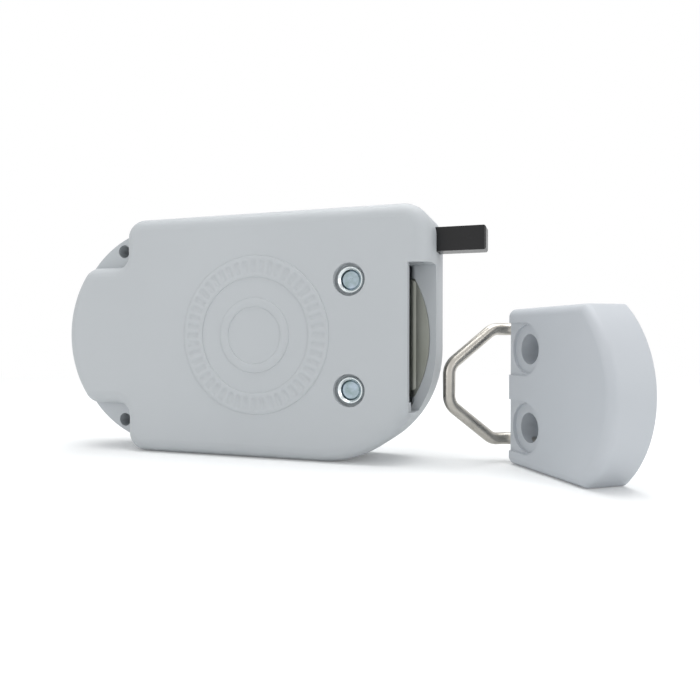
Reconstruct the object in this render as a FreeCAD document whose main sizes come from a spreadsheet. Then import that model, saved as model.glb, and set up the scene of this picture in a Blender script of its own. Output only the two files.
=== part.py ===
import FreeCAD, Part
import math
import os

import Sketcher

V = FreeCAD.Vector
doc = FreeCAD.newDocument("LockerLock")

# Driving dimensions, in millimetres and degrees. Row frame: X along the case, Y from the front
# face to the wall behind the lock, Z up. The lock stands on its long edge.
SIZES = {
    # case
    "case_length": 123.0, "case_height": 75.0, "case_depth": 24.0, "wall": 2.5,
    "cover_depth": 5.0, "corner_low": 33.0, "corner_top": 8.5, "end_arc": 35.0,
    "step_in": 23.0, "tongue_height": 45.0, "step_round": 6.0, "chamber_round": 3.0,
    "step_fillet": 3.5, "front_round": 4.4, "back_round": 2.5,
    # slot for the loop
    "slot_low": 15.5, "slot_height": 42.4, "slot_floor": 10.0, "slot_mouth": 6.3,
    "slot_back": 17.7, "floor_edge": 7.4, "rib": 1.4,
    # wear plate
    "plate_thick": 1.0, "plate_half": 17.2, "plate_apex": 1.8, "plate_ends": 6.2,
    "plate_bend": 2.2, "plate_drop": 6.0,
    # ledge screw holes
    "ledge_hole": 4.3, "ledge_in": 19.7, "ledge_half": 27.9,
    # sleeve nuts and case screws
    "sleeve_in": 23.5, "sleeve_half": 16.0, "sleeve_dia": 8.0, "sleeve_bore": 5.9,
    "sleeve_recess": 1.2, "sleeve_mouth": 9.6, "mouth_depth": 2.4, "sleeve_post": 12.0,
    "boss_dia": 11.2,
    "sleeve_end": 5.0, "screw_dia": 5.7, "screw_head": 11.2, "screw_in": 1.0,
    "hex_key": 4.0, "hex_depth": 2.2, "fit": 0.1,
    # pusher
    "pusher_side": 7.0, "pusher_out": 14.1, "pusher_below": 7.1, "pusher_deep": 13.9,
    "pusher_travel": 8.0, "pusher_inside": 26.0, "pusher_flange": 9.0, "flange_thick": 3.0,
    "pusher_spigot": 3.6, "spigot_length": 6.0, "magnet_dia": 3.0, "magnet_length": 4.0,
    "spring_wire": 0.6, "spring_dia": 5.6, "spring_length": 20.0, "spring_turns": 7.0,
    # lock bolt, rack and pinion
    "bolt_wide": 4.4, "bolt_high": 8.0, "bolt_in": 13.5, "bolt_top": 10.1, "bolt_travel": 5.6,
    "bolt_foot": 17.9, "foot_thick": 2.7, "rack_width": 4.0, "rack_back": 2.2,
    "gear_module": 0.5, "gear_teeth": 10.0, "gear_angle": 30.0, "gear_tip": 0.4,
    "gear_root": 0.6, "gear_play": 0.14, "pinion_deep": 13.5, "pinion_gap": 11.4,
    "pinion_length": 4.2, "shaft_dia": 3.0, "shaft_fit": 0.05,
    "guide_thick": 2.0, "guide_top": 10.2, "guide_gap": 0.12,
    # gear motor
    "motor_wide": 12.0, "motor_deep": 10.0, "motor_can": 15.0, "motor_box": 9.0,
    "motor_gap": 1.6,
    # board
    "board_thick": 1.6, "board_deep": 4.8, "board_left_in": 26.5, "board_right_in": 30.5,
    "board_low": 11.5, "board_high": 62.5, "post_dia": 6.0, "board_screw": 2.5, "screw_grip": 6.0,
    "coil_outer": 44.0, "coil_inner": 38.0, "coil_thick": 0.4, "emblem_x": 8.0,
    # cells
    "cell_dia": 14.5, "cell_length": 50.5, "cell_in": 10.7, "cell_gap": 2.3,
    "cell_clear": 0.25, "tray_wall": 1.2, "contact_thick": 0.4,
    # strike
    "strike_out": 20.0, "strike_y": 4.2, "strike_turn": 35.0, "strike_height": 45.0,
    "strike_flat": 33.3, "strike_reach": 43.7, "strike_thick": 12.5, "strike_round": 2.4,
    "strike_corner": 1.6, "hole_in": 8.2, "hole_half": 11.0, "relief_dia": 15.0,
    "relief_depth": 0.9, "seat_dia": 13.8, "seat_depth": 1.9, "throat_dia": 8.5,
    "throat_depth": 7.6, "hole_dia": 5.5,
    # wire loop
    "wire_dia": 3.6, "loop_out": 5.0, "loop_deep": 5.5, "leg_half": 16.3, "leg_in": 16.0,
    "leg_straight": 2.3, "loop_reach": 16.4, "tip_half": 5.5, "wire_bend": 5.0,
    "loop_rise": 0.5, "leg_fit": 0.03,
}

sheet = doc.addObject("Spreadsheet::Sheet", "Sheet")
for row, (alias, number) in enumerate(SIZES.items(), start=1):
    sheet.set("A%d" % row, alias)
    sheet.set("B%d" % row, "%s" % number)
    sheet.setAlias("B%d" % row, alias)
doc.recompute()


class Size:
    """A dimension that knows both its number and the sheet expression that gives it."""

    def __init__(self, number, text):
        self.number = number
        self.text = text

    def __add__(self, other):
        other = size(other)
        return Size(self.number + other.number, "(%s + %s)" % (self.text, other.text))

    def __sub__(self, other):
        other = size(other)
        return Size(self.number - other.number, "(%s - %s)" % (self.text, other.text))

    def __mul__(self, other):
        other = size(other)
        return Size(self.number * other.number, "(%s * %s)" % (self.text, other.text))

    def __truediv__(self, other):
        other = size(other)
        return Size(self.number / other.number, "(%s / %s)" % (self.text, other.text))

    def __neg__(self):
        return Size(-self.number, "(-%s)" % self.text)

    def __radd__(self, other):
        return size(other) + self

    def __rsub__(self, other):
        return size(other) - self

    def __rmul__(self, other):
        return size(other) * self

    def root(self):
        return Size(math.sqrt(self.number), "sqrt(%s)" % self.text)


def size(value):
    """A Size as it is, or a plain number made into one."""
    return value if isinstance(value, Size) else Size(float(value), "%s" % float(value))


def cell(alias):
    """The Size held by one cell of the sheet."""
    return Size(float(sheet.get(alias)), "Sheet.%s" % alias)


# Places worked out once from the driving dimensions.
left = -cell("case_length") / 2
right = cell("case_length") / 2
middle = cell("case_height") / 2
front = -cell("case_depth") / 2
back = cell("case_depth") / 2
wall = cell("wall")
parting = front + cell("cover_depth")
floor_y = front + cell("slot_floor")
step_x = left + cell("step_in")
slot_low = cell("slot_low")
slot_high = slot_low + cell("slot_height")
slot_middle = slot_low + cell("slot_height") / 2
mouth_x = right - cell("slot_mouth")
slot_inner_x = right - cell("slot_back")
well_x = right - cell("floor_edge")
inner_front = front + wall
inner_back = back - wall
sleeve_x = right - cell("sleeve_in")
ledge_x = left + cell("ledge_in")
board_front = front + cell("board_deep")
board_rear = board_front + cell("board_thick")
pusher_y = front + cell("pusher_deep")
pusher_z = cell("case_height") - wall - cell("pusher_below")
pinion_y = front + cell("pinion_deep")
cell_y = inner_back - cell("cell_dia") / 2 - cell("cell_clear")
cell_half = (cell("cell_dia") + cell("cell_gap")) / 2
cell_left = left + cell("cell_in")
board_left = left + cell("board_left_in")
board_right = right - cell("board_right_in")
bolt_left = right - cell("bolt_in")
pinion_left = bolt_left - cell("pinion_gap")
motor_right = pinion_left - cell("motor_gap")
strike_x = right + cell("strike_out")
bolt_top = front + cell("bolt_top")
foot_y = front + cell("bolt_foot")
gear_radius = cell("gear_module") * cell("gear_teeth") / 2
rack_pitch_z = middle + gear_radius

NODES = []


def node(obj, label):
    """Name a sub-part and put it on the list of what is written out."""
    obj.Label = label
    NODES.append(obj)
    return obj


def body(label):
    return node(doc.addObject("PartDesign::Body", label), label)


def sketch(owner, plane, height=None):
    """A sketch on one of the body's own origin planes, raised along the plane's normal.

    XY looks down on the part, XZ has its normal towards the front, YZ towards the right end.
    """
    made = owner.newObject("Sketcher::SketchObject", "Sketch")
    base = [f for f in owner.Origin.OriginFeatures if f.Role == plane + "_Plane"][0]
    made.AttachmentSupport = [(base, "")]
    made.MapMode = "FlatFace"
    if height is not None:
        height = size(height)
        made.AttachmentOffset = FreeCAD.Placement(V(0, 0, height.number), FreeCAD.Rotation())
        made.setExpression("AttachmentOffset.Base.z", height.text)
    return made


def pin_point(made, geometry, point, x, y):
    """Tie one point of a sketch to its two coordinates."""
    for kind, value in (("DistanceX", x), ("DistanceY", y)):
        value = size(value)
        constraint = Sketcher.Constraint(kind, -1, 1, geometry, point, value.number)
        index = made.addConstraint(constraint)
        made.setExpression("Constraints[%d]" % index, value.text)


def arc_between(a, b, radius, side):
    """An arc from a to b that bulges to the right (1) or left (-1) of the way from a to b."""
    half = (b - a) * 0.5
    across = V(half.y, -half.x, 0).normalize() * side
    rise = math.sqrt(max(radius * radius - half.Length ** 2, 0.0))
    centre = a + half - across * rise
    start, end = (a, b) if side > 0 else (b, a)
    angles = [math.atan2(p.y - centre.y, p.x - centre.x) for p in (start, end)]
    return Part.ArcOfCircle(Part.Circle(centre, V(0, 0, 1), radius), *angles)


def outline(made, corners):
    """Draw a closed outline. A corner is (x, y), or (x, y, radius, side) where the stretch that
    leaves it is an arc."""
    points = [V(size(c[0]).number, size(c[1]).number, 0) for c in corners]
    first = made.GeometryCount
    count = len(corners)
    for i, corner in enumerate(corners):
        a, b = points[i], points[(i + 1) % count]
        if len(corner) == 4:
            made.addGeometry(arc_between(a, b, size(corner[2]).number, corner[3]))
        else:
            made.addGeometry(Part.LineSegment(a, b))
    for i, corner in enumerate(corners):
        start = 2 if len(corner) == 4 and corner[3] < 0 else 1
        pin_point(made, first + i, start, corner[0], corner[1])
        following = (i + 1) % count
        pin_point(made, first + i, 3 - start, corners[following][0], corners[following][1])
        if len(corner) == 4:
            radius = size(corner[2])
            index = made.addConstraint(Sketcher.Constraint("Radius", first + i, radius.number))
            made.setExpression("Constraints[%d]" % index, radius.text)


def rectangle(made, x_low, x_high, y_low, y_high):
    outline(made, [(x_low, y_low), (x_high, y_low), (x_high, y_high), (x_low, y_high)])


def circle(made, x, y, radius):
    x, y, radius = size(x), size(y), size(radius)
    made.addGeometry(Part.Circle(V(x.number, y.number, 0), V(0, 0, 1), radius.number))
    last = made.GeometryCount - 1
    pin_point(made, last, 3, x, y)
    index = made.addConstraint(Sketcher.Constraint("Radius", last, radius.number))
    made.setExpression("Constraints[%d]" % index, radius.text)


def pad(owner, made, length, reverse=False):
    feature = owner.newObject("PartDesign::Pad", "Pad")
    feature.Profile = made
    length = size(length)
    feature.Length = length.number
    feature.setExpression("Length", length.text)
    feature.Reversed = reverse
    doc.recompute()
    return feature


def pocket(owner, made, length, reverse=False):
    """Cut a sketch into the body, and stop the build where the cut removes nothing."""
    before = owner.Shape.Volume
    feature = owner.newObject("PartDesign::Pocket", "Pocket")
    feature.Profile = made
    length = size(length)
    feature.Length = length.number
    feature.setExpression("Length", length.text)
    feature.Reversed = reverse
    doc.recompute()
    if not owner.Shape.Volume < before - 1e-6:
        raise RuntimeError("a pocket of %s cuts nothing" % owner.Label)
    return feature


def revolve(owner, made, axis="H_Axis"):
    feature = owner.newObject("PartDesign::Revolution", "Revolution")
    feature.Profile = made
    feature.ReferenceAxis = (made, [axis])
    feature.Angle = 360.0
    doc.recompute()
    return feature


def edges_where(shape, test):
    """Names of the edges whose middle point and direction pass a test."""
    names = []
    for i, edge in enumerate(shape.Edges, start=1):
        if edge.Degenerated:
            continue
        low, high = edge.ParameterRange
        middle_point = edge.valueAt((low + high) / 2)
        direction = edge.tangentAt((low + high) / 2)
        if test(middle_point, direction, edge):
            names.append("Edge%d" % i)
    return names


def fillet(owner, radius, test):
    """Round the edges of the body's last feature that pass the test."""
    base = owner.Tip
    names = edges_where(base.Shape, test)
    if not names:
        raise RuntimeError("no edge to round on %s" % owner.Label)
    feature = owner.newObject("PartDesign::Fillet", "Fillet")
    feature.Base = (base, names)
    radius = size(radius)
    feature.Radius = radius.number
    feature.setExpression("Radius", radius.text)
    doc.recompute()
    return feature


def near(value, target):
    return abs(value - size(target).number) < 0.02


def along_y(direction):
    return abs(direction.y) > 0.99


def corner_at(x, z):
    """A test for the edge along Y that stands at one corner of an outline."""
    def test(point, direction, edge):
        return along_y(direction) and near(point.x, x) and near(point.z, z)
    return test


def tongue_end(inset):
    """Where the tongue's long edges meet the round end, for an inset."""
    radius = cell("end_arc") - inset
    half = cell("tongue_height") / 2 - inset
    return left + cell("end_arc") - (radius * radius - half * half).root()


def lid_outline(inset):
    """The stepped outline of the cover, moved inwards by an inset."""
    step = step_x + inset
    half = cell("tongue_height") / 2 - inset
    low = size(0.0) + inset
    high = cell("case_height") - inset
    edge = right - inset
    large = cell("corner_low") - inset
    top = cell("corner_top") - inset
    small = cell("step_round") - inset
    return [
        (step + small, low),
        (edge - large, low, large, 1),
        (edge, low + large),
        (edge, high - top, top, 1),
        (edge - top, high),
        (step + small, high, small, 1),
        (step, high - small),
        (step, middle + half),
        (tongue_end(inset), middle + half, cell("end_arc") - inset, 1),
        (tongue_end(inset), middle - half),
        (step, middle - half),
        (step, low + small, small, 1),
    ]


def round_tongue(owner, inset, low_y, high_y):
    """Round the corners where the tongue leaves the lid and where it ends."""
    step = step_x + inset
    half = cell("tongue_height") / 2 - inset
    end_x = tongue_end(inset)

    def upright(point, direction):
        return along_y(direction) and low_y.number < point.y < high_y.number

    def concave(point, direction, edge):
        return upright(point, direction) and near(point.x, step) and (
            near(point.z, middle + half) or near(point.z, middle - half))

    def end(point, direction, edge):
        return upright(point, direction) and near(point.x, end_x)

    fillet(owner, cell("step_fillet") + inset, concave)
    fillet(owner, cell("step_round") - inset, end)


def front_cover():
    """Moulded lid with a stepped tongue at the left and a cut-away for the loop at the right."""
    made = body("front_cover")
    plan = sketch(made, "XZ", -parting)
    outline(plan, lid_outline(size(0.0)))
    pad(made, plan, cell("cover_depth"))
    round_tongue(made, size(0.0), front, parting)
    fillet(made, cell("front_round"), lambda p, d, e: near(p.y, front))
    hollow_cover(made)
    return made


def hollow_cover(made):
    """The inside of the lid, its slot walls and the mouths of the two sleeves."""
    plan = sketch(made, "XZ", -parting)
    outline(plan, lid_outline(wall))
    pocket(made, plan, cell("cover_depth") - wall, reverse=True)
    round_tongue(made, wall, inner_front, parting)
    walls = sketch(made, "XZ", -inner_front)
    slot_wall(walls)
    pad(made, walls, floor_y - cell("fit") - inner_front, reverse=True)
    for side in (1, -1):
        boss = sketch(made, "XZ", -inner_front)
        circle(boss, sleeve_x, middle + cell("sleeve_half") * side, cell("boss_dia") / 2)
        pad(made, boss, floor_y - cell("fit") - inner_front, reverse=True)
    for side in (1, -1):
        mouth = sketch(made, "XZ", -front)
        circle(mouth, sleeve_x, middle + cell("sleeve_half") * side, cell("sleeve_mouth") / 2)
        pocket(made, mouth, cell("mouth_depth"))
    for side in (1, -1):
        bore = sketch(made, "XZ", -front)
        circle(bore, sleeve_x, middle + cell("sleeve_half") * side, cell("sleeve_dia") / 2)
        pocket(made, bore, cell("case_depth") / 2)
    cut = sketch(made, "XZ", -front)
    rectangle(cut, mouth_x, right + wall, slot_low, slot_high)
    pocket(made, cut, cell("case_depth"))


def slot_wall(made):
    """Three thin walls round the hidden end of the slot: above, behind and below."""
    rib = cell("rib")
    fit = cell("fit")
    low = cell("corner_low") - wall
    drop = cell("corner_low") - slot_low + rib
    low_end = right - cell("corner_low") + (low * low - drop * drop).root() - fit * 2
    outline(made, [
        (slot_inner_x - rib, slot_low - rib),
        (low_end, slot_low - rib),
        (low_end, slot_low),
        (slot_inner_x, slot_low),
        (slot_inner_x, slot_high),
        (well_x - fit, slot_high),
        (well_x - fit, slot_high + rib - fit),
        (slot_inner_x - rib, slot_high + rib - fit),
    ])


def rear_outline():
    """The outline of the rear housing: a round left end between straight long edges."""
    radius = cell("end_arc")
    reach = left + radius
    drop = (radius * radius - (step_x - reach) * (step_x - reach)).root()
    corner = middle - drop
    high = cell("case_height")
    return [
        (step_x + corner, 0.0),
        (right, 0.0),
        (right, high),
        (step_x + corner, high, corner, 1),
        (step_x, middle + drop, radius, 1),
        (step_x, middle - drop, corner, 1),
    ]


def rear_housing():
    """Moulded rear shell that carries the mechanism and shows as ledges beside the tongue."""
    made = body("rear_housing")
    plan = sketch(made, "XZ", -back)
    outline(plan, rear_outline())
    pad(made, plan, back - parting)
    fillet(made, cell("corner_low"), corner_at(right, 0.0))
    fillet(made, cell("corner_top"), corner_at(right, cell("case_height")))
    fillet(made, cell("back_round"), lambda p, d, e: near(p.y, back))
    hollow_housing(made)
    housing_floor(made)
    housing_inside(made)
    housing_holes(made)
    return made


def hollow_housing(made):
    """The main room, the chamber of the pusher and the step down to the floor of the slot."""
    inset = wall
    half = cell("tongue_height") / 2 - inset
    step = step_x + inset
    edge = right - inset
    high = cell("case_height") - inset
    low = cell("corner_low") - inset
    centre_x = right - cell("corner_low")
    rise = cell("corner_low") - (low * low - (well_x - centre_x) * (well_x - centre_x)).root()
    small = cell("step_round") - inset
    top = cell("chamber_round")
    room = sketch(made, "XZ", -parting)
    outline(room, [
        (step + small, inset),
        (centre_x, inset, low, 1),
        (well_x, rise),
        (well_x, slot_high + cell("rib")),
        (edge, slot_high + cell("rib")),
        (edge, high - top, top, 1),
        (edge - top, high),
        (step + small, high, small, 1),
        (step, high - small),
        (step, middle + half),
        (tongue_end(inset), middle + half, cell("end_arc") - inset, 1),
        (tongue_end(inset), middle - half),
        (step, middle - half),
        (step, inset + small, small, 1),
    ])
    pocket(made, room, inner_back - parting)
    round_tongue(made, inset, parting, inner_back)


def housing_floor(made):
    """Cut the front of the right wall down to the floor of the slot."""
    cut = sketch(made, "XZ", -parting)
    rectangle(cut, well_x - wall, right + wall, slot_low, slot_high)
    pocket(made, cut, floor_y - parting)
    fillet(made, cell("plate_bend") - cell("plate_thick") + cell("fit"),
           lambda p, d, e: abs(d.z) > 0.99 and near(p.x, well_x) and near(p.y, floor_y))


def housing_inside(made):
    """Posts and walls that stand on the inside of the back."""
    for side in (1, -1):
        post = sketch(made, "XZ", -inner_back)
        circle(post, sleeve_x, middle + cell("sleeve_half") * side, cell("sleeve_post") / 2)
        pad(made, post, inner_back - (floor_y + cell("fit")))
    for x, z in board_posts():
        post = sketch(made, "XZ", -inner_back)
        circle(post, x, z, cell("post_dia") / 2)
        pad(made, post, inner_back - board_rear)
        pilot = sketch(made, "XZ", -board_rear)
        circle(pilot, x, z, cell("board_screw") / 2 + cell("fit") / 2)
        pocket(made, pilot, cell("screw_grip") + cell("fit"))
    gap = cell("fit")
    half = cell("motor_wide") / 2 + gap
    motor_left = motor_right - cell("motor_box") - cell("motor_can")
    cradle = cell("rib")
    for side in (1, -1):
        rail = sketch(made, "XZ", -inner_back)
        a = middle + half * side
        b = middle + (half + cradle) * side
        rectangle(rail, motor_left, motor_right - 1.0,
                  a if side > 0 else b, b if side > 0 else a)
        pad(made, rail, inner_back - pinion_y)
    bed = sketch(made, "XZ", -inner_back)
    rectangle(bed, motor_left + 2.0, motor_right - 1.0, middle - half, middle + half)
    pad(made, bed, inner_back - (pinion_y + cell("motor_deep") / 2))
    channel(made)
    for z in guide_posts():
        post = sketch(made, "XZ", -inner_back)
        rectangle(post, bolt_left, bolt_left + cell("bolt_wide"), z - 1.2, z + 1.2)
        pad(made, post, inner_back - (front + cell("guide_top") + cell("guide_thick")))


def board_posts():
    """Where the circuit board stands on the rear housing."""
    low = middle - 22.0
    near_left, near_right = board_left + 2.0, board_right - 4.0
    return [(near_left, low), (near_left, middle + 21.5),
            (near_right, low), (near_right, middle + 18.0)]


def guide_posts():
    """Heights of the two posts that carry the guide plate of the bolt."""
    half = cell("bolt_high") / 2
    return [middle - half - 2.6, rack_pitch_z + cell("gear_root") + cell("rack_back") + 1.6]


def channel(made):
    """Two rails and a bed that guide the pusher, with an end wall for its spring."""
    half = cell("pusher_side") / 2 + cell("fit")
    rail = cell("rib")
    seat = spring_seat()
    for side in (1, -1):
        strip = sketch(made, "XZ", -inner_back)
        a = pusher_z + half * side
        b = pusher_z + (half + rail) * side
        rectangle(strip, seat - 1.6, flange_left() - cell("pusher_travel") - 1.0,
                  a if side > 0 else b, b if side > 0 else a)
        pad(made, strip, inner_back - (pusher_y - cell("pusher_side") / 2))
    end = sketch(made, "XZ", -inner_back)
    rectangle(end, seat - 1.6, seat, pusher_z - half - rail, pusher_z + half + rail)
    pad(made, end, inner_back - (pusher_y - cell("pusher_side") / 2))
    bed = sketch(made, "XZ", -inner_back)
    rectangle(bed, seat - 1.6, flange_left() - cell("pusher_travel") - 1.0,
              pusher_z - half, pusher_z + half)
    pad(made, bed, inner_back - (pusher_y + cell("pusher_side") / 2 + cell("fit")))


def flange_left():
    """Left face of the collar that stops the pusher against the inside of the end wall."""
    return right - wall - cell("fit") - cell("flange_thick")


def pusher_rear():
    """Left end of the pusher's square bar."""
    return right - cell("pusher_inside")


def spring_seat():
    """Left end of the pusher's spring."""
    return pusher_rear() - cell("spring_length")


def housing_holes(made):
    """Ledge holes, seats of the case screws, bores of the posts and the pusher's window."""
    for side in (1, -1):
        hole = sketch(made, "XZ", -parting)
        circle(hole, ledge_x, middle + cell("ledge_half") * side, cell("ledge_hole") / 2)
        pocket(made, hole, cell("case_depth"))
    for side in (1, -1):
        z = middle + cell("sleeve_half") * side
        bore = sketch(made, "XZ", -parting)
        circle(bore, sleeve_x, z, cell("sleeve_dia") / 2 + cell("fit") / 2)
        pocket(made, bore, back - cell("sleeve_end") - parting + cell("fit") / 2)
        hole = sketch(made, "XZ", -parting)
        circle(hole, sleeve_x, z, cell("screw_dia") / 2 + cell("fit"))
        pocket(made, hole, cell("case_depth"))
    for side in (1, -1):
        countersink(made, middle + cell("sleeve_half") * side)
    window = sketch(made, "YZ", right + wall)
    half = cell("pusher_side") / 2 + cell("fit")
    rectangle(window, pusher_y - half, pusher_y + half, pusher_z - half, pusher_z + half)
    pocket(made, window, wall * 2 + cell("fit"))


def countersink(made, z):
    """A cone in the back for the head of a case screw."""
    cone = made.newObject("PartDesign::SubtractiveCone", "Countersink")
    gap = cell("fit") / 2
    wide = cell("screw_head") / 2 + gap
    slim = cell("screw_dia") / 2 + gap
    for name, value in (("Radius1", slim), ("Radius2", wide), ("Height", wide - slim)):
        setattr(cone, name, value.number)
        cone.setExpression(name, value.text)
    place = V(sleeve_x.number, (back - (wide - slim)).number, z.number)
    cone.AttachmentOffset = FreeCAD.Placement(place, FreeCAD.Rotation(V(1, 0, 0), -90))
    cone.setExpression("AttachmentOffset.Base.x", sleeve_x.text)
    cone.setExpression("AttachmentOffset.Base.y", (back - (wide - slim)).text)
    cone.setExpression("AttachmentOffset.Base.z", z.text)
    base = [f for f in made.Origin.OriginFeatures if f.Role == "XY_Plane"][0]
    cone.AttachmentSupport = [(base, "")]
    cone.MapMode = "FlatFace"
    doc.recompute()


def wear_plate():
    """Stainless plate on the slot's floor, bent down over the edge of the room below."""
    made = body("wear_plate")
    thick = cell("plate_thick")
    bend = cell("plate_bend")
    top = floor_y - thick
    edge = well_x - thick
    tip = right - cell("plate_apex")
    half = cell("plate_half")
    side = sketch(made, "XY", slot_middle - half)
    outline(side, [
        (tip, floor_y),
        (edge + bend, floor_y, bend - thick, -1),
        (well_x, floor_y + (bend - thick)),
        (well_x, floor_y + cell("plate_drop")),
        (edge, floor_y + cell("plate_drop")),
        (edge, top + bend, bend, 1),
        (edge + bend, top),
        (tip, top),
    ])
    pad(made, side, half * 2)
    sagitta = cell("plate_ends") - cell("plate_apex")
    ends = right - cell("plate_ends")
    trim = sketch(made, "XZ", -top)
    outline(trim, [
        (ends, slot_middle - half, (half * half + sagitta * sagitta) / (sagitta * 2), 1),
        (ends, slot_middle + half),
        (right, slot_middle + half),
        (right, slot_middle - half),
    ])
    pocket(made, trim, thick * 2)


def turned(label, profile, x, z):
    """A piece turned about an axis along Y. The profile is (radius, y) corners."""
    made = body(label)
    plan = sketch(made, "XY")
    outline(plan, profile)
    revolve(made, plan, "V_Axis")
    place(made, x, 0.0, z)
    return made


def turned_along_x(label, profile, y, z):
    """A piece turned about an axis along X. The profile is (x, radius) corners."""
    made = body(label)
    plan = sketch(made, "XY")
    outline(plan, profile)
    revolve(made, plan, "H_Axis")
    place(made, 0.0, y, z)
    return made


def place(obj, x, y, z, rotation=None):
    """Set a sub-part's Placement from sizes."""
    x, y, z = size(x), size(y), size(z)
    obj.Placement = FreeCAD.Placement(V(x.number, y.number, z.number),
                                      rotation or FreeCAD.Rotation())
    for axis, value in (("x", x), ("y", y), ("z", z)):
        obj.setExpression("Placement.Base.%s" % axis, value.text)
    doc.recompute()


def sleeves_and_screws():
    """Two sleeve nuts set in the lid, and the countersunk screws that clamp the case."""
    outer = cell("sleeve_dia") / 2
    inner = cell("sleeve_bore") / 2
    low = front + cell("sleeve_recess")
    high = back - cell("sleeve_end")
    chamfer = 0.5
    shank = cell("screw_dia") / 2
    head = cell("screw_head") / 2
    start = low + cell("screw_in")
    key = cell("hex_key") / math.sqrt(3.0)
    for name, side in (("upper", 1), ("lower", -1)):
        z = middle + cell("sleeve_half") * side
        turned("sleeve_nut_" + name, [
            (inner + chamfer, low), (outer - 0.3, low), (outer, low + 0.3), (outer, high),
            (inner, high), (inner, low + chamfer)], sleeve_x, z)
        screw = turned("case_screw_" + name, [
            (0.0, start), (shank - 0.4, start), (shank, start + 0.4),
            (shank, back - (head - shank)), (head, back), (0.0, back)], sleeve_x, z)
        socket = sketch(screw, "XZ", -back)
        outline(socket, [(key * math.cos(math.radians(60 * i)), key * math.sin(math.radians(60 * i)))
                         for i in range(6)])
        pocket(screw, socket, cell("hex_depth"), reverse=True)


def pusher():
    """Square black bar that the door presses in, with a collar, a spigot and a magnet pocket."""
    made = body("pusher")
    half = cell("pusher_side") / 2
    tip = right + cell("pusher_out")
    bar = sketch(made, "YZ", pusher_rear())
    rectangle(bar, pusher_y - half, pusher_y + half, pusher_z - half, pusher_z + half)
    pad(made, bar, tip - pusher_rear())
    fillet(made, 0.7, lambda p, d, e: near(p.x, tip))
    wide = cell("pusher_flange") / 2
    collar = sketch(made, "YZ", flange_left())
    rectangle(collar, pusher_y - wide, pusher_y + wide, pusher_z - wide, pusher_z + wide)
    pad(made, collar, cell("flange_thick"))
    spigot = sketch(made, "YZ", pusher_rear())
    circle(spigot, pusher_y, pusher_z, cell("pusher_spigot") / 2)
    pad(made, spigot, cell("spigot_length"), reverse=True)
    nest = sketch(made, "XY", pusher_z - half)
    circle(nest, magnet_x(), pusher_y, cell("magnet_dia") / 2)
    pocket(made, nest, cell("magnet_length"), reverse=True)
    magnet = body("pusher_magnet")
    disc = sketch(magnet, "XY", pusher_z - half)
    circle(disc, magnet_x(), pusher_y, cell("magnet_dia") / 2)
    pad(magnet, disc, cell("magnet_length"))


def magnet_x():
    return pusher_rear() + 5.0


def pusher_spring():
    """Compression spring between the end wall of the channel and the pusher."""
    wire = cell("spring_wire").number
    length = cell("spring_length").number - wire
    radius = cell("spring_dia").number / 2
    helix = Part.makeHelix(length / cell("spring_turns").number, length, radius)
    flats = 6
    rim = [V(radius + wire / 2 * math.cos(2 * math.pi * i / flats), 0,
             wire / 2 * math.sin(2 * math.pi * i / flats)) for i in range(flats)]
    section = Part.makePolygon(rim + rim[:1])
    coil = Part.Wire(helix.Edges).makePipeShell([section], True, True)
    made = node(doc.addObject("Part::Feature", "pusher_spring"), "pusher_spring")
    made.Shape = coil
    made.Placement = FreeCAD.Placement(
        V((spring_seat() + cell("spring_wire") / 2).number, pusher_y.number, pusher_z.number),
        FreeCAD.Rotation(V(0, 1, 0), 90))


def rack_corners():
    """Outline of the rack in (y, z): straight-sided teeth that point down at the pinion."""
    pitch = Size(math.pi, "pi") * cell("gear_module")
    slope = Size(math.tan(math.radians(cell("gear_angle").number)),
                 "tan(%s * 1 deg)" % cell("gear_angle").text)
    half = pitch / 4 - cell("gear_play") / 2
    tip = half - slope * cell("gear_tip")
    root = half + slope * cell("gear_root")
    tip_z = rack_pitch_z - cell("gear_tip")
    root_z = rack_pitch_z + cell("gear_root")
    back_z = root_z + cell("rack_back")
    low_y = pinion_y - pitch * 1.5
    high_y = foot_y + cell("foot_thick")
    corners = [(low_y, back_z), (low_y, root_z)]
    for tooth in range(-1, 5):
        centre = pinion_y + pitch * tooth
        corners += [(centre - root, root_z), (centre - tip, tip_z),
                    (centre + tip, tip_z), (centre + root, root_z)]
    corners += [(high_y, root_z), (high_y, back_z)]
    corners.reverse()
    return corners


def lock_bolt():
    """The bolt that rises through the loop, with its foot, arm and rack in one piece."""
    made = body("lock_bolt")
    wide = cell("bolt_wide")
    half = cell("bolt_high") / 2
    bottom = foot_y + cell("foot_thick")
    arm_low = rack_pitch_z + cell("gear_root")
    arm_high = arm_low + cell("rack_back")
    head = sketch(made, "XZ", -bottom)
    rectangle(head, bolt_left, bolt_left + wide, middle - half, middle + half)
    pad(made, head, bottom - bolt_top)
    fillet(made, 0.9, lambda p, d, e: near(p.y, bolt_top))
    foot = sketch(made, "XZ", -bottom)
    rectangle(foot, pinion_left, bolt_left + wide, arm_low, arm_high)
    pad(made, foot, cell("foot_thick"))
    rack = sketch(made, "YZ", pinion_left)
    outline(rack, rack_corners())
    pad(made, rack, cell("rack_width"))


def bolt_guide():
    """Plate with a window that the bolt slides in, on two posts of the housing."""
    made = body("bolt_guide")
    gap = cell("guide_gap")
    half = cell("bolt_high") / 2
    low, high = guide_posts()
    plan = sketch(made, "XZ", -(front + cell("guide_top") + cell("guide_thick")))
    rectangle(plan, bolt_left - 3.0, bolt_left + cell("bolt_wide") + 0.5, low - 1.2, high + 1.2)
    pad(made, plan, cell("guide_thick"))
    window = sketch(made, "XZ", -(front + cell("guide_top")))
    rectangle(window, bolt_left - gap, bolt_left + cell("bolt_wide") + gap,
              middle - half - gap, middle + half + gap)
    pocket(made, window, cell("guide_thick"))


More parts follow.
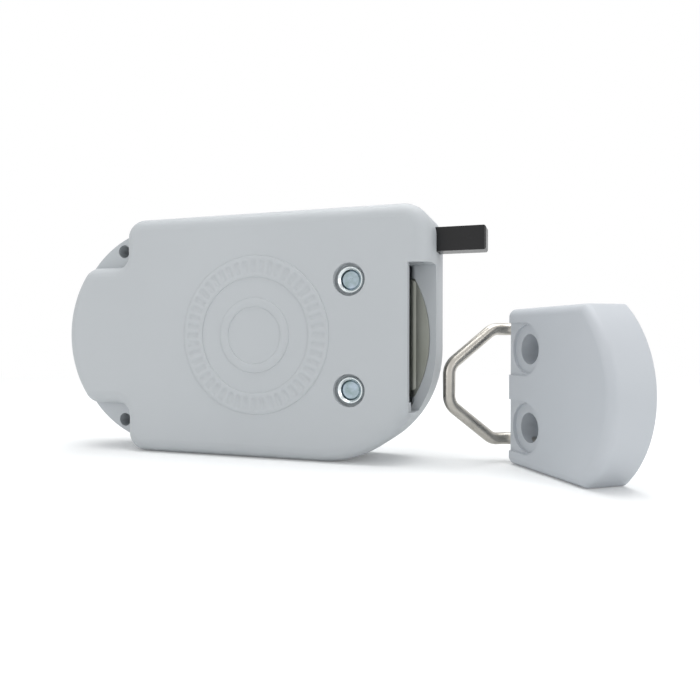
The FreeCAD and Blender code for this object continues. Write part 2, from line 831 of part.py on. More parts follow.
def involute(base, radius):
    """Angle by which an involute of the base circle has turned at a radius."""
    ratio = math.sqrt((radius / base) ** 2 - 1.0)
    return ratio - math.atan(ratio)


def drive_pinion():
    """Involute pinion on the output shaft, with a gap of its teeth on the rack's tooth."""
    module = cell("gear_module").number
    teeth = int(cell("gear_teeth").number)
    pitch = gear_radius.number
    base = pitch * math.cos(math.radians(cell("gear_angle").number))
    tip = pitch + cell("gear_tip").number
    root = pitch - cell("gear_root").number
    half = math.pi / (2 * teeth) - cell("gear_play").number / (2 * pitch)
    half += involute(base, pitch)
    steps = 5
    points = []
    for tooth in range(teeth):
        middle_angle = 2 * math.pi * (tooth + 0.5) / teeth
        flank = []
        for i in range(steps + 1):
            radius = base + (tip - base) * i / steps
            flank.append((radius, half - involute(base, radius)))
        flank.insert(0, (root, half))
        for radius, angle in flank:
            points.append((radius, middle_angle - angle))
        for radius, angle in reversed(flank):
            points.append((radius, middle_angle + angle))
    corners = [V(r * math.sin(a), r * math.cos(a), 0) for r, a in points]
    ring = Part.makePolygon(corners + corners[:1])
    blank = Part.Face(ring).extrude(V(0, 0, cell("pinion_length").number))
    bore = Part.makeCylinder(cell("shaft_dia").number / 2 + 0.02, cell("pinion_length").number)
    made = node(doc.addObject("Part::Feature", "drive_pinion"), "drive_pinion")
    made.Shape = blank.cut(bore)
    turn = FreeCAD.Rotation(V(0, 1, 0), V(0, 0, 1), V(1, 0, 0), "ZXY")
    made.Placement = FreeCAD.Placement(
        V(pinion_left.number, pinion_y.number, middle.number), turn)


def drive_shaft():
    made = node(doc.addObject("Part::Cylinder", "drive_shaft"), "drive_shaft")
    radius = cell("shaft_dia") / 2
    start = motor_right - 4.5
    length = pinion_left + cell("pinion_length") + 0.6 - start
    made.setExpression("Radius", radius.text)
    made.setExpression("Height", length.text)
    place(made, start, pinion_y, middle, FreeCAD.Rotation(V(0, 1, 0), 90))


def gear_motor():
    """Small flat-sided motor with its gearbox, lying between the two sleeves."""
    radius = cell("motor_wide") / 2
    deep = cell("motor_deep") / 2
    flat = (radius * radius - deep * deep).root()
    box_left = motor_right - cell("motor_box")
    can = body("motor_can")
    plan = sketch(can, "YZ", box_left - cell("motor_can"))
    outline(plan, [
        (pinion_y - deep, middle - flat, radius, 1),
        (pinion_y + deep, middle - flat),
        (pinion_y + deep, middle + flat, radius, 1),
        (pinion_y - deep, middle + flat),
    ])
    pad(can, plan, cell("motor_can"))
    box = body("motor_gearbox")
    plan = sketch(box, "YZ", box_left)
    rectangle(plan, pinion_y - deep, pinion_y + deep, middle - radius, middle + radius)
    pad(box, plan, cell("motor_box"))
    bore = sketch(box, "YZ", motor_right)
    circle(bore, pinion_y, middle, cell("shaft_dia") / 2 + cell("shaft_fit"))
    pocket(box, bore, size(5.0))


def circuit_board():
    made = body("circuit_board")
    plan = sketch(made, "XZ", -board_rear)
    rectangle(plan, board_left, board_right, cell("board_low"), cell("board_high"))
    pad(made, plan, cell("board_thick"))
    for x, z in board_posts():
        hole = sketch(made, "XZ", -board_front)
        circle(hole, x, z, cell("board_screw") / 2 + cell("fit"))
        pocket(made, hole, cell("board_thick"))
    coil = body("antenna_coil")
    ring = sketch(coil, "XZ", -board_front)
    circle(ring, cell("emblem_x"), middle, cell("coil_outer") / 2)
    circle(ring, cell("emblem_x"), middle, cell("coil_inner") / 2)
    pad(coil, ring, cell("coil_thick"))


def board_screws():
    """Four pan-head screws that hold the board, as one group."""
    shank = cell("board_screw") / 2
    screws = []
    for x, z in board_posts():
        head = Part.makeCylinder(shank.number * 1.9, 1.2, V(x.number, 0, z.number), V(0, -1, 0))
        stem = Part.makeCylinder(shank.number, (cell("board_thick") + cell("screw_grip")).number,
                                 V(x.number, 0, z.number), V(0, 1, 0))
        screws.append(head.fuse(stem).removeSplitter())
    made = node(doc.addObject("Part::Feature", "board_screws"), "board_screws")
    made.Shape = Part.makeCompound(screws)
    made.Placement = FreeCAD.Placement(V(0, board_front.number, 0), FreeCAD.Rotation())


def board_parts():
    """Chips, sockets and a buzzer on the back of the board, as one group."""
    # Distance from the board's left edge, height, width, height of the body, thickness.
    chips = ((40.0, 14.0, 10.0, 10.0, 1.4), (54.0, 22.0, 4.0, 6.0, 1.0),
             (49.0, 51.0, 8.0, 5.0, 2.0), (39.0, 55.0, 6.0, 4.0, 1.2),
             (53.0, 12.5, 4.0, 6.0, 1.6))
    edge = board_left.number
    solids = [Part.makeBox(w, t, d, V(edge + x, board_rear.number, z)) for x, z, w, d, t in chips]
    buzzer = V(edge + 41.0, board_rear.number, 45.0)
    solids.append(Part.makeCylinder(4.0, 2.2, buzzer, V(0, 1, 0)))
    made = node(doc.addObject("Part::Feature", "board_parts"), "board_parts")
    made.Shape = Part.makeCompound(solids)


def reed_switch():
    """Glass switch on the back of the board that the pusher's magnet works."""
    made = node(doc.addObject("Part::Cylinder", "reed_switch"), "reed_switch")
    made.Radius = 1.0
    made.Height = 12.0
    place(made, spring_seat(), board_rear + 1.0, cell("board_high") - 1.6,
          FreeCAD.Rotation(V(0, 1, 0), 90))


def cells():
    """Two cells side by side, their tray and the contact strips at its ends."""
    radius = cell("cell_dia") / 2
    start = cell_left
    end = start + cell("cell_length")
    gap = cell("fit")
    for name, side in (("upper", 1), ("lower", -1)):
        turned_along_x("cell_" + name, [
            (start, 0.0), (end, 0.0), (end, 2.7), (end - 1.0, 2.7), (end - 1.0, radius),
            (start, radius)], cell_y, middle + cell_half * side)
    thin = cell("contact_thick")
    shell = cell("tray_wall")
    half = cell_half + radius + shell
    tray = body("battery_tray")
    plan = sketch(tray, "XZ", -inner_back)
    rectangle(plan, start - thin - gap - shell, end + thin + gap + shell,
              middle - half, middle + half)
    pad(tray, plan, inner_back - cell_y)
    room = sketch(tray, "YZ", end + thin + gap)
    open_z = radius + gap
    corners = [(cell_y - gap, middle - cell_half - open_z)]
    for side in (-1, 1):
        z = middle + cell_half * side
        corners += [(cell_y, z - open_z, open_z, 1), (cell_y + open_z, z, open_z, 1),
                    (cell_y, z + open_z)]
    corners.append((cell_y - gap, middle + cell_half + open_z))
    outline(room, corners)
    pocket(tray, room, end - start + thin * 2 + gap * 2)
    for name, x, low, high in (
            ("contact_bridge", start - thin - gap / 2, middle - half + shell, middle + half - shell),
            ("contact_upper", end + gap / 2, middle + 1.5, middle + half - shell),
            ("contact_lower", end + gap / 2, middle - half + shell, middle - 1.5)):
        made = body(name)
        plan = sketch(made, "YZ", x)
        rectangle(plan, cell_y - radius + 2.0, cell_y - gap * 2, low, high)
        pad(made, plan, thin)


def strike_turn():
    """Rotation from the strike's own frame: x across its face, y up, z out of the face."""
    upright = FreeCAD.Rotation(V(0, -1, 0), V(0, 0, 1), V(-1, 0, 0), "ZXY")
    return FreeCAD.Rotation(V(0, 0, 1), cell("strike_turn").number).multiply(upright)


def strike_block():
    """D-shaped keeper with two screw holes, standing apart on its flat edge."""
    made = body("strike_block")
    height = cell("strike_height")
    flat = cell("strike_flat")
    sagitta = cell("strike_reach") - flat
    radius = (height * height / 4 + sagitta * sagitta) / (sagitta * 2)
    thick = cell("strike_thick")
    plan = sketch(made, "XY")
    outline(plan, [(0.0, 0.0), (flat, 0.0, radius, 1), (flat, height), (0.0, height)])
    pad(made, plan, thick, reverse=True)
    fillet(made, cell("strike_corner"), lambda p, d, e: abs(d.z) > 0.99 and near(p.x, flat))
    fillet(made, cell("strike_round"),
           lambda p, d, e: near(p.z, 0.0) and p.x > flat.number - 0.1)
    fillet(made, 0.8, lambda p, d, e: near(p.x, 0.0) and near(p.z, 0.0))
    for side in (1, -1):
        strike_hole(made, height / 2 + cell("hole_half") * side)
    legs = sketch(made, "YZ")
    for side in (1, -1):
        circle(legs, loop_z() + cell("leg_half") * side, -cell("loop_deep"),
               cell("wire_dia") / 2 + cell("leg_fit"))
    pocket(made, legs, cell("leg_in"), reverse=True)
    place(made, strike_x, cell("strike_y"), 0.0, strike_turn())


def strike_hole(made, y):
    """A relief open to the straight edge, a round seat, a throat and the screw hole."""
    x = cell("hole_in")
    wide = cell("relief_dia") / 2
    relief = sketch(made, "XY")
    outline(relief, [(-1.0, y - wide), (x, y - wide, wide, 1), (x + wide, y, wide, 1),
                     (x, y + wide), (-1.0, y + wide)])
    pocket(made, relief, cell("relief_depth"))
    for diameter, depth in (("seat_dia", cell("seat_depth")), ("throat_dia", cell("throat_depth")),
                            ("hole_dia", cell("strike_thick"))):
        hole = sketch(made, "XY")
        circle(hole, x, y, cell(diameter) / 2)
        pocket(made, hole, depth)


def loop_z():
    return cell("strike_height") / 2 + cell("loop_rise")


def bent_path(points, radius):
    """Straight runs joined by tangent arcs of one radius."""
    edges = []
    start = points[0]
    for before, corner, after in zip(points, points[1:], points[2:]):
        incoming = (corner - before).normalize()
        outgoing = (after - corner).normalize()
        turn = incoming.getAngle(outgoing)
        reach = radius * math.tan(turn / 2)
        a = corner - incoming * reach
        b = corner + outgoing * reach
        inward = (outgoing - incoming).normalize()
        top = corner + inward * (radius / math.cos(turn / 2) - radius)
        edges.append(Part.LineSegment(start, a).toShape())
        edges.append(Part.Arc(a, top, b).toShape())
        start = b
    edges.append(Part.LineSegment(start, points[-1]).toShape())
    return Part.Wire(edges)


def wire_loop():
    """Stainless wire bent into the loop, both legs turned into the strike beside its holes."""
    z = loop_z().number
    leg = cell("leg_half").number
    tip = cell("tip_half").number
    deep = -cell("loop_deep").number
    out = -cell("loop_out").number
    straight = cell("leg_straight").number
    reach = cell("loop_reach").number
    half = [V(cell("leg_in").number, leg, deep), V(out, leg, deep), V(out, leg, straight),
            V(out, tip, reach)]
    points = half + [V(p.x, -p.y, p.z) for p in reversed(half)]
    path = bent_path([p + V(0, z, 0) for p in points], cell("wire_bend").number)
    start = points[0] + V(0, z, 0)
    section = Part.Wire(Part.makeCircle(cell("wire_dia").number / 2, start, V(1, 0, 0)))
    made = node(doc.addObject("Part::Feature", "wire_loop"), "wire_loop")
    made.Shape = path.makePipeShell([section], True, False)
    base = V(strike_x.number, cell("strike_y").number, 0)
    made.Placement = FreeCAD.Placement(base, strike_turn())


def build_all():
    front_cover()
    rear_housing()
    wear_plate()
    sleeves_and_screws()
    lock_bolt()
    bolt_guide()
    drive_pinion()
    drive_shaft()
    gear_motor()
    pusher()
    pusher_spring()
    circuit_board()
    board_screws()
    board_parts()
    reed_switch()
    cells()
    strike_block()
    wire_loop()


build_all()
doc.recompute()
for obj in doc.Objects:
    if "Invalid" in obj.State or "Error" in obj.State:
        raise RuntimeError("%s (%s) failed: %s" % (obj.Name, obj.Label, obj.State))
os.makedirs("parts", exist_ok=True)
for obj in NODES:
    shape = obj.Shape
    if shape.isNull() or not shape.isValid():
        raise RuntimeError("%s has no valid shape" % obj.Label)
    shape.exportStep("parts/%s.step" % obj.Label)
print("wrote %d parts" % len(NODES))
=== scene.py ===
# %% [markdown]
# A flat electronic locker lock stands on its long edge, with the strike from the door beside it.
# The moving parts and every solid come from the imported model. This script adds the camera, the
# light, the low relief on the lid, the crown of the wear plate and a material for each piece.

# %% Load the frame
import math

import bmesh
import bpy
from mathutils import Matrix, Vector


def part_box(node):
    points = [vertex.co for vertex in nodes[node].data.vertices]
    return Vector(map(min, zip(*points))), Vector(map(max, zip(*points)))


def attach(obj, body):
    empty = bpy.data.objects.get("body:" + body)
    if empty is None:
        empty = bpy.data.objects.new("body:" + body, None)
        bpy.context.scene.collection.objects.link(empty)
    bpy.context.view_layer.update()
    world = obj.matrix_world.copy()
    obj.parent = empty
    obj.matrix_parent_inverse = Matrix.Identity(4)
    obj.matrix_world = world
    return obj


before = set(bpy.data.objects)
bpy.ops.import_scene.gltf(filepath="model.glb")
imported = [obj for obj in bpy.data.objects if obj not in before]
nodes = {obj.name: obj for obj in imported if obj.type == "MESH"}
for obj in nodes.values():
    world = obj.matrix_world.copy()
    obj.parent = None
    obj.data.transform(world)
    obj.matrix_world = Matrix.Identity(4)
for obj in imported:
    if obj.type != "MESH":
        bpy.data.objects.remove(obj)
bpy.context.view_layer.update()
MM = 0.001

# %% [markdown]
# The camera stands in front and a little to the right, looking slightly left, so that the face
# of the lid is seen almost square on and the right end shows. Its lens and place were worked out
# from the straight edges of the case and the round mouths of the sleeve nuts. The camera's matrix
# is built from its sideways, upward and backward directions, so no angles have to be guessed.

# %% Camera
CAMERA_PLACE = Vector((0.0935, -0.1850, 0.03625))
CAMERA_LOOK = Vector((-0.3034, 0.9529, -0.01675)).normalized()
CAMERA_LENS_MM = 32.54
SENSOR_MM = 36.0
CLIP_NEAR, CLIP_FAR = 0.01, 20.0
camera_data = bpy.data.cameras.new("product_camera")
camera_data.lens = CAMERA_LENS_MM
camera_data.sensor_width = SENSOR_MM
camera_data.clip_start = CLIP_NEAR
camera_data.clip_end = CLIP_FAR
camera = bpy.data.objects.new("product_camera", camera_data)
bpy.context.scene.collection.objects.link(camera)
sideways = CAMERA_LOOK.cross(Vector((0, 0, 1))).normalized()
upwards = sideways.cross(CAMERA_LOOK)
turn = Matrix((sideways, upwards, -CAMERA_LOOK)).transposed().to_4x4()
camera.matrix_world = Matrix.Translation(CAMERA_PLACE) @ turn
bpy.context.scene.camera = camera
print("camera at", tuple(round(v, 4) for v in CAMERA_PLACE))

# %% [markdown]
# Every finish is a small node tree. One function adds a node with its settings and links, and one
# turns a hex colour, as a paint chart gives it, into the linear numbers that the shader needs.
# Nodes keep the grain real at any zoom, where an image of it would need one for each piece.

# %% Helpers for materials
CLOUD_START, CLOUD_END = 0.3, 0.7
GRAIN_DETAIL, CLOUD_DETAIL = 3.0, 2.0


def linear(hex_colour):
    """sRGB hex to linear RGBA."""
    channels = [int(hex_colour[i:i + 2], 16) / 255 for i in (0, 2, 4)]
    return tuple(c / 12.92 if c <= 0.04045 else ((c + 0.055) / 1.055) ** 2.4
                 for c in channels) + (1.0,)


def add(tree, kind, inputs=None, **settings):
    """Add one node. Inputs are plain values or the sockets that feed them."""
    made = tree.nodes.new(kind)
    for name, value in settings.items():
        setattr(made, name, value)
    for name, value in (inputs or {}).items():
        if isinstance(value, bpy.types.NodeSocket):
            tree.links.new(value, made.inputs[name])
        else:
            made.inputs[name].default_value = value
    return made


def ramp(tree, factor, low, high):
    """A colour ramp between two linear colours."""
    made = add(tree, "ShaderNodeValToRGB", {"Fac": factor})
    first, last = made.color_ramp.elements
    first.position, first.color = CLOUD_START, low
    last.position, last.color = CLOUD_END, high
    return made.outputs["Color"]


def seen_directly(tree):
    """1 for what the camera sees, also mirrored in metal or through glass, and 0 for light."""
    path = add(tree, "ShaderNodeLightPath").outputs
    plain = add(tree, "ShaderNodeMath", {
        0: path["Is Camera Ray"], 1: path["Is Transmission Ray"]}, operation="MAXIMUM")
    whole = add(tree, "ShaderNodeMath", {
        0: plain.outputs["Value"], 1: path["Is Glossy Ray"]}, operation="MAXIMUM")
    return whole.outputs["Value"]


def finish(name, colour, second, metallic, roughness, grain_mm, bump_mm, stretch=(1, 1, 1),
           cloud_mm=25.0, spread=0.06, ior=None):
    """A surface with a fine grain in its bump and roughness and a soft cloud in its colour.

    grain_mm is the spacing of the grain, and stretch draws it out into lines.
    """
    material = bpy.data.materials.new(name)
    material.use_nodes = True
    tree = material.node_tree
    tree.nodes.clear()
    place = add(tree, "ShaderNodeTexCoord").outputs["Object"]
    stretched = add(tree, "ShaderNodeMapping", {"Vector": place, "Scale": stretch})
    grain = add(tree, "ShaderNodeTexNoise", {
        "Vector": stretched.outputs["Vector"], "Scale": 1.0 / (grain_mm * MM),
        "Detail": GRAIN_DETAIL})
    cloud = add(tree, "ShaderNodeTexNoise", {
        "Vector": place, "Scale": 1.0 / (cloud_mm * MM), "Detail": CLOUD_DETAIL})
    colour_out = ramp(tree, cloud.outputs["Fac"], linear(colour), linear(second))
    rough = add(tree, "ShaderNodeMapRange", {
        "Value": grain.outputs["Fac"],
        "To Min": roughness - spread, "To Max": roughness + spread})
    bump = add(tree, "ShaderNodeBump", {
        "Height": grain.outputs["Fac"], "Strength": 1.0, "Distance": bump_mm * MM})
    shader = add(tree, "ShaderNodeBsdfPrincipled", {
        "Base Color": colour_out, "Metallic": metallic,
        "Roughness": rough.outputs["Result"], "Normal": bump.outputs["Normal"]})
    if ior:
        shader.inputs["IOR"].default_value = ior
    add(tree, "ShaderNodeOutputMaterial", {"Surface": shader.outputs["BSDF"]})
    return material


# %% [markdown]
# The case is moulded ABS from a spark-eroded tool. The tool leaves a fine matt grain, so
# highlights are broad and soft. The real grain is about 0.15 mm, too fine for this picture, so it
# is drawn at 0.7 mm. The lid and the rear shell come from two tools and differ by a shade. The bar
# slides, so it is acetal, and the inner plastics are nylon, shrunk film and moulded epoxy.

# %% Plastics
ABS_IOR = 1.53
abs_lid = finish("moulded ABS, light grey lid", "b9bdc0", "b6babd", 0.0, 0.52, 0.7, 0.012,
                 cloud_mm=45.0, ior=ABS_IOR)
abs_shell = finish("moulded ABS, light grey shell", "b9bdc1", "b5babd", 0.0, 0.55, 0.7, 0.012,
                   cloud_mm=45.0, ior=ABS_IOR)
acetal_black = finish("machined black acetal", "08080a", "0e0e11", 0.0, 0.3, 1.2, 0.004,
                      cloud_mm=8.0, ior=1.45)
nylon_black = finish("moulded black nylon", "1c1c1e", "232326", 0.0, 0.5, 0.6, 0.010, ior=1.53)
sleeve_film = finish("shrunk PVC sleeve", "2b3038", "333944", 0.0, 0.32, 3.0, 0.01, ior=1.54)
epoxy_black = finish("moulded epoxy", "151515", "1d1d1e", 0.0, 0.6, 0.4, 0.010, ior=1.55)

# %% [markdown]
# The strike is cast in zinc and powder coated in the same grey. Powder flows out in the oven into
# a skin with a slight orange peel, about 1 mm from hill to hill, a little smoother than the ABS.

# %% Powder coat
powder_coat = finish("powder coat on cast zinc, grey", "bfc3c8", "bbc0c5", 0.0, 0.46, 0.9, 0.014,
                     cloud_mm=30.0, ior=1.5)

# %% [markdown]
# The metals keep the default IOR and differ in how they were made. Rolled sheet and drawn wire
# have lines along the rolling or drawing, made by stretching the noise. Zinc plating is bright
# and slightly blue. Ground steel has fine lines along the grinding, and brass, spring wire and the
# copper winding have an even grain.

# %% Metals
rolled_stainless = finish("rolled stainless sheet", "8f918b", "85877f", 1.0, 0.34, 0.35, 0.004,
                          stretch=(1, 1, 0.04), cloud_mm=9.0, spread=0.1)
drawn_stainless = finish("drawn stainless wire", "bbb7b0", "aba8a1", 1.0, 0.3, 0.3, 0.003,
                         stretch=(0.1, 0.1, 1), cloud_mm=6.0, spread=0.08)
bright_zinc = finish("bright zinc plating", "e6eaea", "d9e0e2", 1.0, 0.24, 0.5, 0.002,
                     cloud_mm=3.0, spread=0.05)
blue_zinc = finish("blue passivated zinc", "a9b6c2", "8c9c9e", 1.0, 0.3, 0.6, 0.01,
                   cloud_mm=2.0, spread=0.08)
ground_steel = finish("ground steel", "a9aaac", "9c9da0", 1.0, 0.28, 0.4, 0.003,
                      stretch=(1, 0.1, 1), cloud_mm=6.0)
spring_wire = finish("hard drawn spring wire", "8d8e90", "7f8082", 1.0, 0.3, 0.3, 0.003)
machined_brass = finish("machined brass", "c9a860", "bd9a52", 1.0, 0.25, 0.3, 0.003)
drawn_nickel = finish("nickel plated drawn steel", "c4c3bf", "b8b6b1", 1.0, 0.22, 0.5, 0.003,
                      stretch=(0.1, 1, 1))
copper_winding = finish("enamelled copper winding", "b0683a", "8d4e2a", 1.0, 0.35, 0.2, 0.02)

# %% [markdown]
# The circuit board is glass laminate under green solder mask, and the reed switch is a clear
# glass tube. Both are inside the closed case and only show when the model is taken apart.

# %% Board and glass
solder_mask = finish("green solder mask", "1f5a34", "18492a", 0.0, 0.3, 1.5, 0.01,
                     cloud_mm=5.0, ior=1.55)
reed_glass = finish("clear glass tube", "cfe0dc", "c4d8d3", 0.0, 0.06, 1.0, 0.001, ior=1.5)
GLASS_CLEAR = 0.85
for shader in reed_glass.node_tree.nodes:
    if shader.type == "BSDF_PRINCIPLED":
        shader.inputs["Transmission Weight"].default_value = GLASS_CLEAR

# %% [markdown]
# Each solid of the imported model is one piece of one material, as it comes from its maker, so one
# table is enough: it names the finish of every node, and a missing name stops the script.

# %% Give each CAD node its finish
FINISHES = {
    "front_cover": abs_lid, "rear_housing": abs_shell, "wear_plate": rolled_stainless,
    "sleeve_nut_upper": bright_zinc, "sleeve_nut_lower": bright_zinc,
    "case_screw_upper": blue_zinc, "case_screw_lower": blue_zinc,
    "lock_bolt": ground_steel, "bolt_guide": nylon_black, "drive_pinion": machined_brass,
    "drive_shaft": ground_steel, "motor_can": drawn_nickel, "motor_gearbox": nylon_black,
    "pusher": acetal_black, "pusher_magnet": drawn_nickel, "pusher_spring": spring_wire,
    "circuit_board": solder_mask, "antenna_coil": copper_winding, "board_screws": ground_steel,
    "board_parts": epoxy_black, "reed_switch": reed_glass, "cell_upper": sleeve_film,
    "cell_lower": sleeve_film, "battery_tray": nylon_black, "contact_bridge": drawn_nickel,
    "contact_upper": drawn_nickel, "contact_lower": drawn_nickel, "strike_block": powder_coat,
    "wire_loop": drawn_stainless,
}
for name, piece in nodes.items():
    piece.data.materials.clear()
    piece.data.materials.append(FINISHES[name])
print("finished", len(FINISHES), "nodes")

# %% [markdown]
# The round relief on the lid is a raised band with sunk dial ticks and a plain ring in the middle,
# moulded in one with the lid. It could be cut into the lid with booleans, but a height field on a
# polar grid is lighter: a few rings of points, each point lifted or sunk by where it lies.

# %% Low relief on the lid
EMBLEM_X, EMBLEM_Z = 8.0, 37.5
LID_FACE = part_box("front_cover")[0].y / MM
SUNK = 0.02
BAND_EDGE = 0.25
EDGE_PART, EDGE_LIFT = 0.3, 0.7
TICK_WIDE, TICK_LIP = 1.3, 0.15
RING_STEPS = 96
SHARP_ANGLE = math.radians(50)


def mesh_object(name, mesh, material):
    """A shaded object from a finished bmesh, linked to the scene."""
    bmesh.ops.recalc_face_normals(mesh, faces=mesh.faces)
    data = bpy.data.meshes.new(name)
    mesh.to_mesh(data)
    mesh.free()
    data.materials.append(material)
    data.shade_smooth()
    data.set_sharp_from_angle(angle=SHARP_ANGLE)
    made = bpy.data.objects.new(name, data)
    bpy.context.scene.collection.objects.link(made)
    print(name, len(data.vertices), "points")
    return made


def relief_band(name, inner, outer, height, ticks=0, tick_in=0.0, tick_out=0.0, depth=0.0):
    """A flat raised band with rounded edges and, if asked, a ring of sunk ticks.

    radii holds, for each ring of points, its radius, its share of the height and whether a tick
    sinks it. angles holds, for each row, its angle and whether it lies in a tick.
    """
    edge = BAND_EDGE
    step = edge * EDGE_PART
    radii = [(inner, 0.0, 0), (inner + step, EDGE_LIFT, 0), (inner + edge, 1.0, 0)]
    if ticks:
        radii += [(tick_in, 1.0, 0), (tick_in + TICK_LIP, 1.0, 1),
                  (tick_out - TICK_LIP, 1.0, 1), (tick_out, 1.0, 0)]
    radii += [(outer - edge, 1.0, 0), (outer - step, EDGE_LIFT, 0), (outer, 0.0, 0)]
    angles = []
    if ticks:
        middle_radius = (tick_in + tick_out) / 2
        half = TICK_WIDE / middle_radius / 2
        lip = TICK_LIP / middle_radius
        for i in range(ticks):
            centre = 2 * math.pi * i / ticks
            angles += [(centre - half, 0), (centre - half + lip, 1), (centre + half - lip, 1),
                       (centre + half, 0), (centre + math.pi / ticks, 0)]
    else:
        angles = [(2 * math.pi * i / RING_STEPS, 0) for i in range(RING_STEPS)]
    mesh = bmesh.new()
    rows = []
    for angle, angle_sunk in angles:
        row = []
        for radius, lift, radius_sunk in radii:
            rise = lift * height - SUNK - depth * angle_sunk * radius_sunk
            x = EMBLEM_X + radius * math.cos(angle)
            z = EMBLEM_Z + radius * math.sin(angle)
            row.append(mesh.verts.new((x * MM, (LID_FACE - rise) * MM, z * MM)))
        rows.append(row)
    for i, row in enumerate(rows):
        following = rows[(i + 1) % len(rows)]
        for k in range(len(radii) - 1):
            mesh.faces.new((row[k], row[k + 1], following[k + 1], following[k]))
        mesh.faces.new((row[-1], row[0], following[0], following[-1]))
    made = mesh_object(name, mesh, abs_lid)
    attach(made, "case")


relief_band("emblem_band", 17.5, 24.0, 0.32, ticks=48, tick_in=19.0, tick_out=22.6, depth=0.16)
relief_band("emblem_ring", 8.6, 11.4, 0.28)

# %% [markdown]
# The wear plate is crowned along its bend, where it turns down into the slot. The crown is low, but
# it tips the metal towards the light, so a bright line runs down the bend. Its section is half a
# sine wave, run from end to end, and both ends are cut at a slant to follow the plate's outline.

# %% Crown of the wear plate
PLATE_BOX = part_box("wear_plate")
CROWN_HIGH, CROWN_STEPS = 0.19, 12
CROWN_LEFT, CROWN_RIGHT = PLATE_BOX[0].x / MM + 0.15, PLATE_BOX[0].x / MM + 2.75
CROWN_LOW, CROWN_TOP = PLATE_BOX[0].z / MM + 1.0, PLATE_BOX[1].z / MM + 0.5
CROWN_SLANT, CROWN_SUNK = 1.5, 0.01


def plate_crown():
    """A long low ridge on the face of the wear plate."""
    face = PLATE_BOX[0].y / MM
    mesh = bmesh.new()
    ends = []
    for i in range(CROWN_STEPS + 1):
        part = i / CROWN_STEPS
        x = CROWN_LEFT + (CROWN_RIGHT - CROWN_LEFT) * part
        y = face + CROWN_SUNK - CROWN_HIGH * math.sin(math.pi * part)
        cut = CROWN_SLANT * part
        ends.append([mesh.verts.new((x * MM, y * MM, z * MM))
                     for z in (CROWN_LOW + cut, CROWN_TOP - cut)])
    for one, other in zip(ends, ends[1:]):
        mesh.faces.new((one[0], other[0], other[1], one[1]))
    mesh.faces.new((ends[-1][0], ends[0][0], ends[0][1], ends[-1][1]))
    mesh.faces.new([pair[0] for pair in ends])
    mesh.faces.new([pair[1] for pair in reversed(ends)])
    return mesh_object("plate_crown", mesh, rolled_stainless)


crown = plate_crown()
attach(crown, "case")

# %% [markdown]
# The floor is a wide pale sheet that turns into the white of the background with distance, so no
# horizon shows. Near the lock it is a plain matt surface that takes the soft contact shadow.

# %% Floor
WHITE = (1, 1, 1, 1)
FLOOR_SIZE = 6.0
FLOOR_DROP = 0.00005
FLOOR_LIFT = 0.12
FADE_START, FADE_END = 0.16, 0.55
floor_mesh = bpy.data.meshes.new("floor")
half = FLOOR_SIZE / 2
floor_mesh.from_pydata([(-half, -half, 0), (half, -half, 0), (half, half, 0), (-half, half, 0)],
                       [], [(0, 1, 2, 3)])
floor = bpy.data.objects.new("floor", floor_mesh)
bpy.context.scene.collection.objects.link(floor)
floor.location.z = -FLOOR_DROP
paper = bpy.data.materials.new("white paper sweep")
paper.use_nodes = True
tree = paper.node_tree
tree.nodes.clear()
spot = add(tree, "ShaderNodeTexCoord").outputs["Object"]
distance = add(tree, "ShaderNodeVectorMath", {0: spot}, operation="LENGTH").outputs["Value"]
fade = add(tree, "ShaderNodeMapRange", {
    "Value": distance, "From Min": FADE_START, "From Max": FADE_END},
           interpolation_type="SMOOTHSTEP")
matt = add(tree, "ShaderNodeBsdfDiffuse", {"Color": linear("f4f5f5")})
lift = add(tree, "ShaderNodeMath", {0: seen_directly(tree), 1: FLOOR_LIFT}, operation="MULTIPLY")
sheen = add(tree, "ShaderNodeEmission", {"Color": WHITE, "Strength": lift.outputs["Value"]})
near = add(tree, "ShaderNodeAddShader", {0: matt.outputs["BSDF"], 1: sheen.outputs["Emission"]})
glow = add(tree, "ShaderNodeEmission", {"Color": WHITE, "Strength": 1.0})
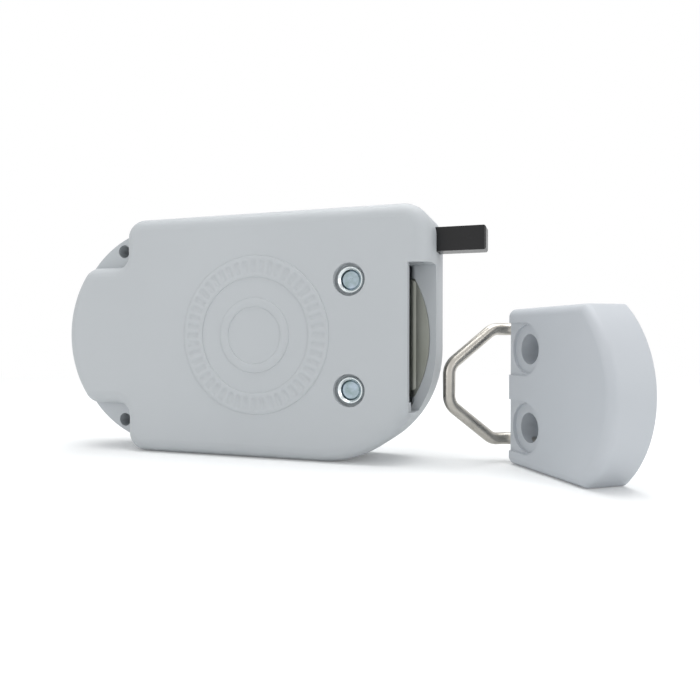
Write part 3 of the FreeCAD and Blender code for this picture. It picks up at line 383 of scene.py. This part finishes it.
blend = add(tree, "ShaderNodeMixShader", {
    0: fade.outputs["Result"], 1: near.outputs["Shader"], 2: glow.outputs["Emission"]})
add(tree, "ShaderNodeOutputMaterial", {"Surface": blend.outputs["Shader"]})
floor_mesh.materials.append(paper)
print("floor", FLOOR_SIZE, "m wide, white from", FADE_END, "m out")

# %% [markdown]
# The room gives an even, slightly cool fill from all sides. What the camera sees of it, straight or
# in metal or glass, is plain white, and that white puts no more light on the lock.

# %% World
FILL_COLOUR, FILL_STRENGTH = (0.97, 0.985, 1.0, 1), 0.48
world = bpy.data.worlds.new("studio")
bpy.context.scene.world = world
world.use_nodes = True
tree = world.node_tree
tree.nodes.clear()
fill_light = add(tree, "ShaderNodeBackground", {
    "Color": FILL_COLOUR, "Strength": FILL_STRENGTH})
backdrop = add(tree, "ShaderNodeBackground", {"Color": WHITE, "Strength": 1.0})
both = add(tree, "ShaderNodeMixShader", {
    0: seen_directly(tree), 1: fill_light.outputs["Background"],
    2: backdrop.outputs["Background"]})
add(tree, "ShaderNodeOutputWorld", {"Surface": both.outputs["Shader"]})
print("fill light", FILL_STRENGTH)

# %% [markdown]
# One large softbox hangs above, so top edges are the lightest and undersides fall away. A weaker
# one at the front left lights the face of the lid, and one at the right the end with the slot. All
# are white and large against the part, which keeps the shadows soft.

# %% Lamps


def softbox(name, place, target, width, watts):
    """A square area lamp that points at the target."""
    data = bpy.data.lights.new(name, "AREA")
    data.size = width
    data.energy = watts
    made = bpy.data.objects.new(name, data)
    made.location = place
    made.rotation_euler = (Vector(target) - Vector(place)).to_track_quat("-Z", "Y").to_euler()
    bpy.context.scene.collection.objects.link(made)
    print(name, watts, "W")


softbox("softbox_above", (0.05, 0.05, 0.75), (0.03, 0.0, 0.0), 0.7, 4.9)
softbox("softbox_front", (-0.55, -0.62, 0.22), (0.0, 0.0, 0.03), 0.5, 1.15)
softbox("softbox_right", (0.75, -0.35, 0.25), (0.06, 0.0, 0.03), 0.4, 1.3)
bpy.context.scene.view_settings.view_transform = "Standard"
